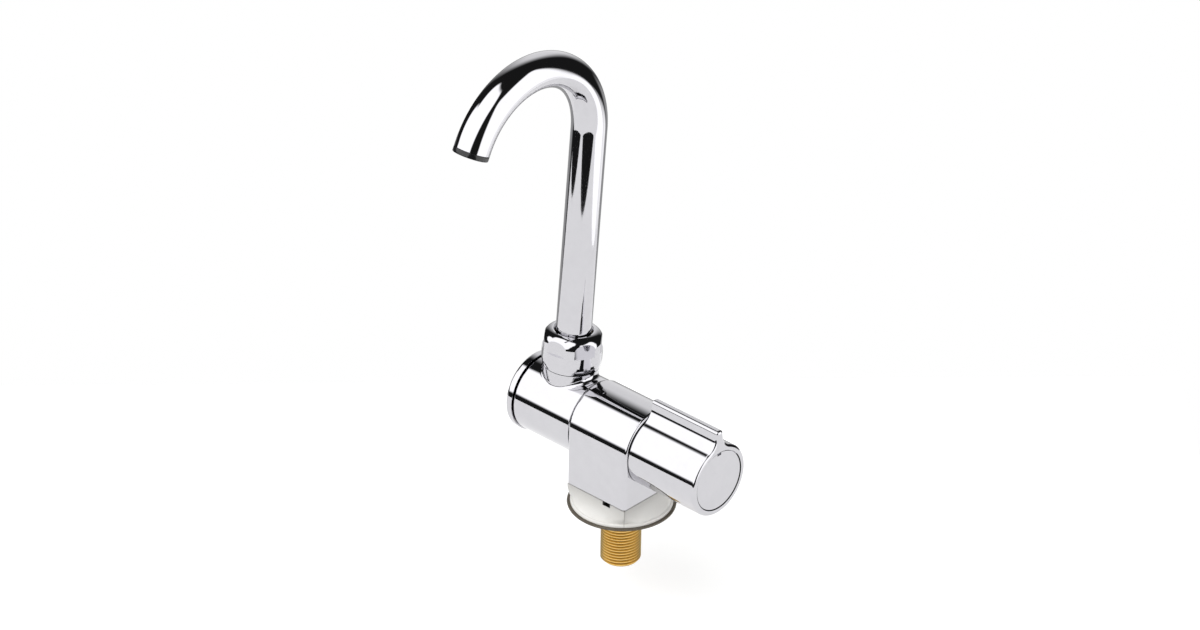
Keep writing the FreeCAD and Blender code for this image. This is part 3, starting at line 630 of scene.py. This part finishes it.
@dataclass
class Tail:
    """Threaded brass tail that passes through the deck."""

    thread_radius: float = 8.331 * MM
    thread_depth: float = 0.856 * MM
    pitch: float = 1.337 * MM
    crest_share: float = 0.2
    spare_turns: int = 2
    run_in_turns: float = 1.5
    length: float = 26.8 * MM
    chamfer: float = 1.0 * MM
    bore_radius: float = 4.2 * MM
    turn_steps: int = 72
    weld_distance: float = 0.001 * MM
    cut_distance: float = 0.0001 * MM
    rim_distance: float = 0.01 * MM

    def thread_skin(self) -> bmesh.types.BMesh:
        """Sweep one tooth along the thread's helix, past both ends of the tail.

        Returns:
            The open skin.
        """
        mesh = bmesh.new()
        root = self.thread_radius - self.thread_depth
        flat = self.pitch * self.crest_share / 2
        rise = self.pitch / 2 - 2 * flat
        tooth = [(root, 0.0), (root, flat), (self.thread_radius, flat + rise),
                 (self.thread_radius, 3 * flat + rise), (root, 3 * flat + 2 * rise), (root, self.pitch)]
        points = [mesh.verts.new((radius, 0.0, height)) for radius, height in tooth]
        edges = [mesh.edges.new(pair) for pair in zip(points, points[1:])]
        turns = math.ceil(self.length / self.pitch) + self.spare_turns
        bmesh.ops.spin(mesh, geom=points + edges, cent=(0, 0, 0), axis=(0, 0, 1),
                       dvec=(0, 0, self.pitch / self.turn_steps), angle=FULL_TURN * turns,
                       steps=self.turn_steps * turns)
        start = -self.length - self.run_in_turns * self.pitch
        bmesh.ops.translate(mesh, verts=mesh.verts, vec=(0, 0, start))
        bmesh.ops.remove_doubles(mesh, verts=mesh.verts, dist=self.weld_distance)
        return mesh

    def mesh(self) -> bmesh.types.BMesh:
        """Trim the thread to length, chamfer its end and close it round the bore.

        Returns:
            The closed mesh.
        """
        mesh = self.thread_skin()
        for height, outward in ((-self.length, -1), (0.0, 1)):
            bmesh.ops.bisect_plane(mesh, geom=mesh.verts[:] + mesh.edges[:] + mesh.faces[:],
                                   dist=self.cut_distance, plane_co=(0, 0, height),
                                   plane_no=(0, 0, outward), clear_outer=True)
        # The chamfer: nothing at the lower end stands past a cone of 45 degrees.
        for vert in mesh.verts:
            reach = self.thread_radius - self.chamfer + (vert.co.z + self.length)
            radius = vert.co.xy.length
            if radius > reach:
                vert.co.xy *= reach / radius
        for height in (-self.length, 0.0):
            rim = [edge for edge in mesh.edges if edge.is_boundary
                   and all(abs(vert.co.z - height) < self.rim_distance for vert in edge.verts)]
            hole = bmesh.ops.create_circle(mesh, segments=self.turn_steps, radius=self.bore_radius,
                                           matrix=Matrix.Translation((0, 0, height)))
            loop = {edge for vert in hole["verts"] for edge in vert.link_edges}
            bmesh.ops.bridge_loops(mesh, edges=rim + list(loop))
        bore = [edge for edge in mesh.edges if edge.is_boundary]
        bmesh.ops.bridge_loops(mesh, edges=bore)
        bmesh.ops.recalc_face_normals(mesh, faces=mesh.faces)
        return mesh

    def build(self, rack: Rack) -> None:
        """Model the tail and put it in place of its plain solid."""
        rack.place(self.mesh(), "inlet_shank", "tap_body", Slot.THREAD_BRASS)


@dataclass
class DeckSeat:
    """What lies between body and deck: the white foot and a rubber gasket."""

    gasket_bore: float = 8.4 * MM
    gasket_radius: float = 22.3 * MM
    gasket_thickness: float = 0.9 * MM
    gasket_bulge: float = 0.12 * MM
    gasket_edge: float = 0.12 * MM
    gasket_segments: int = 160

    def gasket(self) -> bmesh.types.BMesh:
        """Turn a gasket whose squeezed edge bulges a little.

        Returns:
            The gasket's mesh.
        """
        middle = self.gasket_thickness / 2
        edge = self.gasket_radius - self.gasket_bulge
        return turned_ring(
            [(self.gasket_bore, 0.0), (edge, 0.0), (self.gasket_radius, middle),
             (edge, self.gasket_thickness), (self.gasket_bore, self.gasket_thickness)],
            self.gasket_segments, self.gasket_edge)

    def build(self, rack: Rack) -> None:
        """Model the gasket and dress the foot."""
        rack.place(self.gasket(), "deck_gasket", "tap_body", Slot.GASKET_RUBBER)
        rack.dress_nodes({"base_foot": Slot.WHITE_PLASTIC})


@dataclass
class Spout:
    """Bent tube with a black outlet ring, and the foot on which it swivels."""

    axis_x: float = -30.35 * MM
    axis_height: float = 33.25 * MM
    lean: float = math.radians(4.6)
    tube_radius: float = 7.32 * MM
    tube_wall: float = 1.0 * MM
    seat_height: float = 21.5 * MM
    bend_height: float = 124.7 * MM
    bend_radius: float = 35.0 * MM
    bend_angle: float = math.radians(157.5)
    end_run: float = 2.1 * MM
    nozzle_length: float = 2.3 * MM
    nozzle_insert: float = 2.08 * MM
    nozzle_bore: float = 4.9 * MM
    nozzle_edge: float = 0.25 * MM
    round_segments: int = 96
    bend_steps: int = 120
    inner: dict[str, Slot] = field(default_factory=lambda: {
        "spout_ferrule": Slot.BRASS, "spout_orings": Slot.BLACK_RUBBER,
        "flow_straightener": Slot.BLACK_PLASTIC})

    @property
    def lean_turn(self) -> Matrix:
        """Lean of the upright spout about the body axis."""
        pivot = Matrix.Translation((0, 0, self.axis_height))
        return pivot @ Matrix.Rotation(-self.lean, 4, "X") @ pivot.inverted()

    @property
    def outlet(self) -> Vector:
        """Direction in which the upright spout's outlet points."""
        return Vector((0, -math.sin(self.bend_angle), math.cos(self.bend_angle)))

    @property
    def outlet_place(self) -> Matrix:
        """Find where the tube ends.

        Returns:
            Place of the tube's end, with +Z along the outlet.
        """
        end = Vector((self.axis_x, -self.bend_radius * (1 - math.cos(self.bend_angle)),
                      self.axis_height + self.bend_height + self.bend_radius * math.sin(self.bend_angle)))
        end += self.outlet * self.end_run
        return self.lean_turn @ Matrix.Translation(end) @ Matrix.Rotation(self.bend_angle, 4, "X")

    def tube(self) -> bmesh.types.BMesh:
        """Draw a circle up the spout, round its bend and out to the end, then give it a wall.

        Returns:
            The tube's mesh.
        """
        mesh = bmesh.new()
        foot = Matrix.Translation((self.axis_x, 0, self.axis_height + self.seat_height))
        ring = bmesh.ops.create_circle(mesh, segments=self.round_segments, radius=self.tube_radius,
                                       matrix=foot)["verts"]
        edges = list({edge for vert in ring for edge in vert.link_edges})
        edges = self.drawn_on(mesh, edges, Vector((0, 0, self.bend_height - self.seat_height)))
        centre = (self.axis_x, -self.bend_radius, self.axis_height + self.bend_height)
        bend = bmesh.ops.spin(mesh, geom=edges, cent=centre, axis=(1, 0, 0), angle=self.bend_angle,
                              steps=self.bend_steps)
        edges = [item for item in bend["geom_last"] if isinstance(item, bmesh.types.BMEdge)]
        self.drawn_on(mesh, edges, self.outlet * self.end_run)
        bmesh.ops.recalc_face_normals(mesh, faces=mesh.faces)
        bmesh.ops.solidify(mesh, geom=mesh.faces[:], thickness=self.tube_wall)
        bmesh.ops.transform(mesh, matrix=self.lean_turn, verts=mesh.verts)
        return mesh

    @staticmethod
    def drawn_on(mesh: bmesh.types.BMesh, edges: list[bmesh.types.BMEdge],
                 along: Vector) -> list[bmesh.types.BMEdge]:
        """Extrude a loop of edges.

        Args:
            mesh: The mesh that grows.
            edges: The loop.
            along: How far, and where to.

        Returns:
            The loop at the far end.
        """
        grown = bmesh.ops.extrude_edge_only(mesh, edges=edges)["geom"]
        moved = [item for item in grown if isinstance(item, bmesh.types.BMVert)]
        bmesh.ops.translate(mesh, verts=moved, vec=along)
        return [item for item in grown if isinstance(item, bmesh.types.BMEdge) and item.is_boundary]

    def nozzle(self) -> bmesh.types.BMesh:
        """Turn the outlet ring, with a soft lip, and seat it in the tube's end.

        Returns:
            The ring's mesh.
        """
        seat = self.tube_radius - self.tube_wall
        mesh = turned_ring(
            [(self.nozzle_bore, -self.nozzle_insert), (seat, -self.nozzle_insert), (seat, 0.0),
             (self.tube_radius, 0.0), (self.tube_radius, self.nozzle_length),
             (self.nozzle_bore, self.nozzle_length)], self.round_segments, self.nozzle_edge)
        bmesh.ops.transform(mesh, matrix=self.outlet_place, verts=mesh.verts)
        return mesh

    def build(self, rack: Rack) -> None:
        """Model tube and outlet ring, and dress the foot inside.

        Args:
            rack: Where the materials are.
        """
        rack.place(self.tube(), "spout_tube", "spout", Slot.CHROME)
        rack.place(self.nozzle(), "outlet_nozzle", "spout", Slot.BLACK_PLASTIC)
        rack.dress_nodes(self.inner)


@dataclass
class Body:
    """Chromed block with its hollow trunnion and the carrier that folds on it."""

    nodes: dict[str, Slot] = field(default_factory=lambda: {
        "body_block": Slot.CHROME, "spout_carrier": Slot.CHROME, "rear_cap": Slot.CHROME,
        "collar_nut": Slot.CHROME, "swivel_ring": Slot.SLIP_PLASTIC, "pivot_spigot": Slot.BRASS,
        "pivot_orings": Slot.BLACK_RUBBER, "friction_washer": Slot.SLIP_PLASTIC,
        "pivot_washer": Slot.STEEL, "pivot_screw": Slot.STEEL, "fold_stop_pin": Slot.STEEL})

    def build(self, rack: Rack) -> None:
        """Dress the body's pieces."""
        rack.dress_nodes(self.nodes)


@dataclass
class Knob:
    """Finned knob with its end disc, and the quarter-turn valve behind it."""

    nodes: dict[str, Slot] = field(default_factory=lambda: {
        "knob_shell": Slot.CHROME, "knob_end_disc": Slot.CHROME, "knob_screw": Slot.STEEL,
        "valve_spindle": Slot.BRASS, "spindle_oring": Slot.BLACK_RUBBER, "spindle_clip": Slot.STEEL,
        "moving_disc": Slot.CERAMIC, "fixed_disc": Slot.CERAMIC, "seat_seal": Slot.BLACK_RUBBER,
        "cartridge_housing": Slot.BRASS, "housing_oring": Slot.BLACK_RUBBER})

    def build(self, rack: Rack) -> None:
        """Dress the knob and the valve."""
        rack.dress_nodes(self.nodes)


@dataclass(frozen=True)
class SoftPanel:
    """One soft light in the studio's surroundings. Angles are in degrees."""

    bearing: float
    height: float
    half_width: float
    half_height: float
    corner: float
    feather: float
    strength: float


@dataclass
class Studio:
    """White card floor, soft panels in a dark room, and the camera."""

    floor_height: float = -44.0 * MM
    floor_centre: Pair = (10.0 * MM, -133.1 * MM)
    floor_half: Pair = (339.1 * MM, 265.3 * MM)
    floor_turn: float = math.radians(45.0)
    floor_colour: Colour = (0.7, 0.7, 0.7)
    floor_glow: float = 0.42
    room: float = 0.014
    fill: float = 0.3
    panels: tuple[SoftPanel, ...] = (
        SoftPanel(-100.5, 42.0, 39.9, 40.5, 19.8, 3.0, 1.82),
        SoftPanel(16.0, -5.1, 32.7, 47.8, 8.0, 3.0, 1.82),
        SoftPanel(127.6, 14.8, 22.0, 30.0, 22.0, 15.0, 1.05),
        SoftPanel(-146.5, 19.5, 19.5, 19.5, 19.5, 3.0, 1.82),
        SoftPanel(62.0, -42.0, 12.0, 16.0, 8.0, 3.0, 1.5),
        SoftPanel(135.0, -41.0, 48.0, 17.0, 10.0, 6.0, 0.4),
    )
    camera_bearing: float = math.radians(42.16)
    camera_rise: float = math.radians(31.01)
    camera_roll: float = math.radians(1.02)
    camera_distance: float = 2273.86 * MM
    camera_shift: Pair = (8.79 * MM, -75.74 * MM)
    focal_pixels: float = 5600.49
    frame_pixels: int = 1200
    sensor: float = 36.0

    def build(self) -> None:
        """Make the floor, the light and the camera."""
        self.floor()
        self.surroundings()
        self.camera()

    def floor(self) -> None:
        """Lay a white card that keeps the tap's shadow, below the reach of the folded spout."""
        mesh = bmesh.new()
        place = Matrix.Translation((*self.floor_centre, self.floor_height))
        place @= Matrix.Rotation(self.floor_turn, 4, "Z")
        place @= Matrix.Diagonal((*self.floor_half, 1.0, 1.0))
        bmesh.ops.create_grid(mesh, x_segments=1, y_segments=1, size=1.0, matrix=place)
        data = bpy.data.meshes.new("floor_mesh")
        mesh.to_mesh(data)
        mesh.free()
        floor = bpy.data.objects.new("floor", data)
        bpy.context.scene.collection.objects.link(floor)
        paper = bpy.data.materials.new("floor_card")
        paper.use_nodes = True
        graph = Graph(paper.node_tree)
        card = graph.add("BsdfDiffuse", {"Color": (*self.floor_colour, 1.0)}).outputs[0]
        glow = graph.add("Emission", {"Strength": self.floor_glow}).outputs[0]
        white = graph.add("AddShader", {0: card, 1: glow}).outputs[0]
        either = graph.add("MixShader", {0: self.seen_rays(graph), 1: card, 2: white}).outputs[0]
        graph.add("OutputMaterial", {"Surface": either})
        data.materials.append(paper)
        log.info("floor card, %.0f by %.0f mm", *(2 * half / MM for half in self.floor_half))

    @staticmethod
    def seen_rays(graph: Graph) -> Socket:
        """Tell rays that show the background, straight or in metal and glass, from those that only light.

        Args:
            graph: The graph in which it is asked.

        Returns:
            1 for a ray that shows, 0 for one that lights.
        """
        path = graph.add("LightPath").outputs
        mirrored = graph.math("MAXIMUM", path["Is Glossy Ray"], path["Is Transmission Ray"])
        return graph.math("MAXIMUM", path["Is Camera Ray"], mirrored)

    @staticmethod
    def panel_group() -> bpy.types.NodeTree:
        """Soft rounded panel of light in a direction.

        Returns:
            The node group, with its angles in radians.
        """
        names = ("Bearing", "Height", "Half Width", "Half Height", "Corner", "Feather", "Strength")
        kinds = {"Direction": SocketKind.VECTOR} | {name: SocketKind.VALUE for name in names}
        graph, given = Effects.group("soft_panel", kinds, "Light")
        away = graph.math("MULTIPLY", given.outputs["Bearing"], -1.0)
        level = graph.add("VectorRotate", {"Vector": given.outputs["Direction"], "Angle": away},
                          rotation_type="Z_AXIS")
        facing = graph.add("VectorRotate", {"Vector": level.outputs[0], "Angle": given.outputs["Height"]},
                           rotation_type="Y_AXIS")
        part = graph.add("SeparateXYZ", {"Vector": facing.outputs[0]}).outputs
        across = graph.math("ABSOLUTE", graph.math("ARCTAN2", part["Y"], part["X"]))
        upward = graph.math("ABSOLUTE", graph.math("ARCSINE", part["Z"]))
        corner = given.outputs["Corner"]
        past = [graph.math("ADD", graph.math("SUBTRACT", angle, given.outputs[half]), corner)
                for angle, half in ((across, "Half Width"), (upward, "Half Height"))]
        inside = graph.math("MINIMUM", graph.math("MAXIMUM", *past), 0.0)
        clipped = graph.add("CombineXYZ", {axis: graph.math("MAXIMUM", value, 0.0)
                                           for axis, value in zip("XY", past)})
        outside = graph.add("VectorMath", {0: clipped.outputs[0]}, operation="LENGTH").outputs["Value"]
        edge = graph.math("SUBTRACT", graph.math("ADD", inside, outside), corner)
        near = graph.math("MULTIPLY", given.outputs["Feather"], -1.0)
        light = graph.span(edge, (near, given.outputs["Strength"]), (given.outputs["Feather"], 0.0), True)
        graph.add("NodeGroupOutput", {"Light": light})
        return graph.tree

    def surroundings(self) -> None:
        """Light the tap from soft panels, with a white background."""
        world = bpy.data.worlds.new("studio")
        bpy.context.scene.world = world
        world.use_nodes = True
        graph = Graph(world.node_tree)
        direction = graph.add("TexCoord").outputs["Generated"]
        group = self.panel_group()
        light: Value = self.room
        for panel in self.panels:
            angles = {"Bearing": panel.bearing, "Height": panel.height, "Half Width": panel.half_width,
                      "Half Height": panel.half_height, "Corner": panel.corner, "Feather": panel.feather}
            inputs = {name: math.radians(angle) for name, angle in angles.items()}
            inputs |= {"Direction": direction, "Strength": panel.strength}
            lit = graph.add("Group", inputs, node_tree=group).outputs["Light"]
            light = graph.math("MAXIMUM", lit, light)
        filled = graph.span(self.seen_rays(graph), (0.0, self.fill), (1.0, 0.0))
        light = graph.math("ADD", light, filled)
        straight = graph.add("LightPath").outputs["Is Camera Ray"]
        light = graph.math("MULTIPLY", light, graph.math("SUBTRACT", 1.0, straight))
        seen = graph.math("MAXIMUM", light, straight)
        background = graph.add("Background", {"Color": seen, "Strength": 1.0})
        graph.add("OutputWorld", {"Surface": background.outputs[0]})
        log.info("surroundings with %d soft panels", len(self.panels))

    def camera(self) -> None:
        """Stand the camera where the photograph was taken from."""
        right = Vector((math.cos(self.camera_bearing), math.sin(self.camera_bearing), 0))
        away = Vector((-math.sin(self.camera_bearing), math.cos(self.camera_bearing), 0))
        over = math.cos(self.camera_rise) * Vector((0, 0, 1)) + math.sin(self.camera_rise) * away
        back = math.sin(self.camera_rise) * Vector((0, 0, 1)) - math.cos(self.camera_rise) * away
        side = math.cos(self.camera_roll) * right + math.sin(self.camera_roll) * over
        top = math.cos(self.camera_roll) * over - math.sin(self.camera_roll) * right
        data = bpy.data.cameras.new("photo_view")
        data.sensor_width = self.sensor
        data.lens = self.focal_pixels / self.frame_pixels * self.sensor
        camera = bpy.data.objects.new("photo_view", data)
        bpy.context.scene.collection.objects.link(camera)
        turn = Matrix((side, top, back)).transposed().to_4x4()
        place = self.camera_distance * back - self.camera_shift[0] * side - self.camera_shift[1] * top
        camera.matrix_world = Matrix.Translation(place) @ turn
        bpy.context.scene.camera = camera
        log.info("camera %.2f m away", place.length)


def main() -> None:
    """Dress and detail the tap, and set up the studio."""
    logging.basicConfig(level=logging.INFO, format="%(name)s: %(message)s")
    bpy.context.scene.view_settings.view_transform = "Standard"
    rack = Rack(Effects())
    for assembly in (Body(), Knob(), Spout(), DeckSeat(), Tail()):
        assembly.build(rack)
    Studio().build()


if __name__ == "__main__":
    main()
